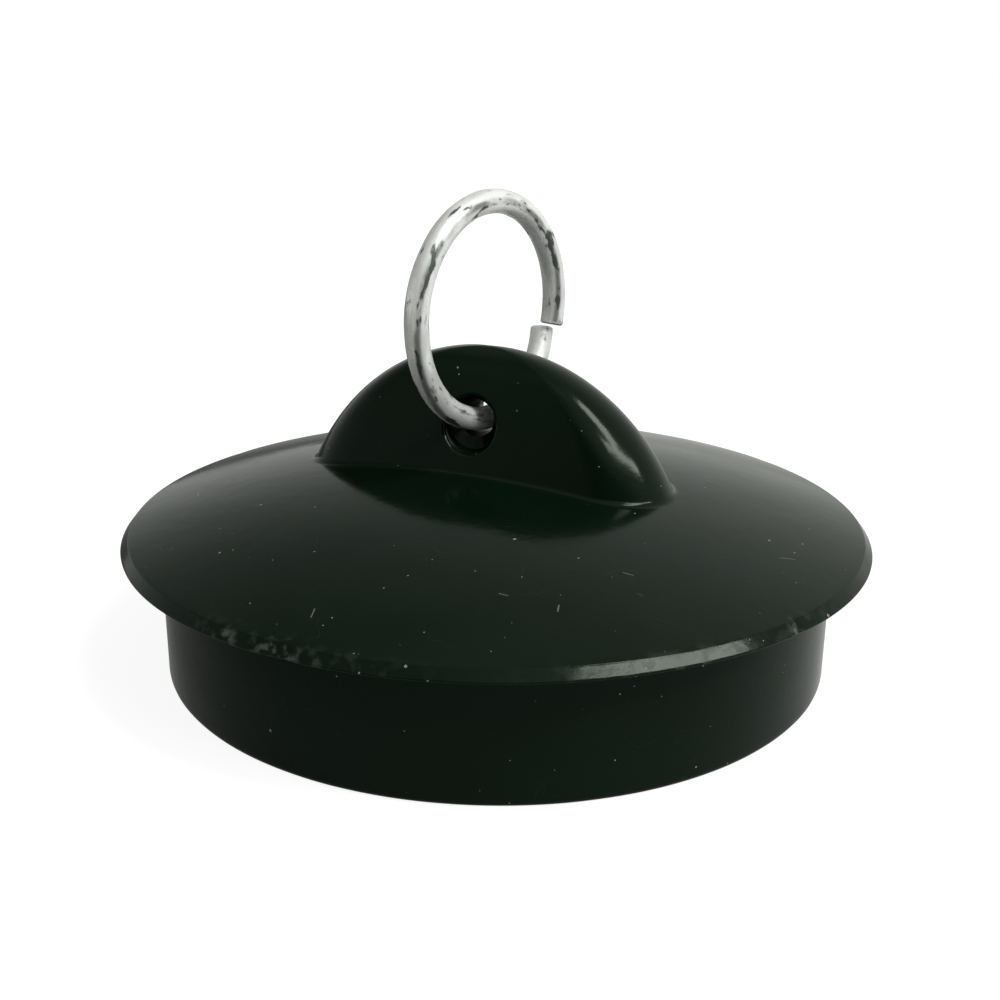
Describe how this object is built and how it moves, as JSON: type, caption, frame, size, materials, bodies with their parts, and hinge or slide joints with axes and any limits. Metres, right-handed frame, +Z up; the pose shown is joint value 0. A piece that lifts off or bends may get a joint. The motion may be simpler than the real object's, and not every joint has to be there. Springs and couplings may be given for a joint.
{
  "type": "drain stopper",
  "caption": "Black rubber drain stopper: a domed flange over a hollow round skirt, with a half-moon lug whose hole holds a swinging plated wire lift ring.",
  "frame": {"origin": "centre of the skirt's foot, on the plug's axis", "axes": "+Z up out of the drain, +X along the lug, +Y along the lug's hole"},
  "size_m": [0.05, 0.05, 0.0311],
  "materials": {
    "black_rubber": "satin",
    "plated_wire": "polished"
  },
  "bodies": {
    "stopper": {"rubber_stopper": "black_rubber"},
    "ring": {"lift_ring": "plated_wire"}
  },
  "joints": [
    {"name": "ring_swing", "type": "hinge", "parent": "stopper", "child": "ring", "pos_m": [-0.00068, 0, 0.01645], "axis": [0, 1, 0], "range_deg": [-96, 96]}
  ]
}
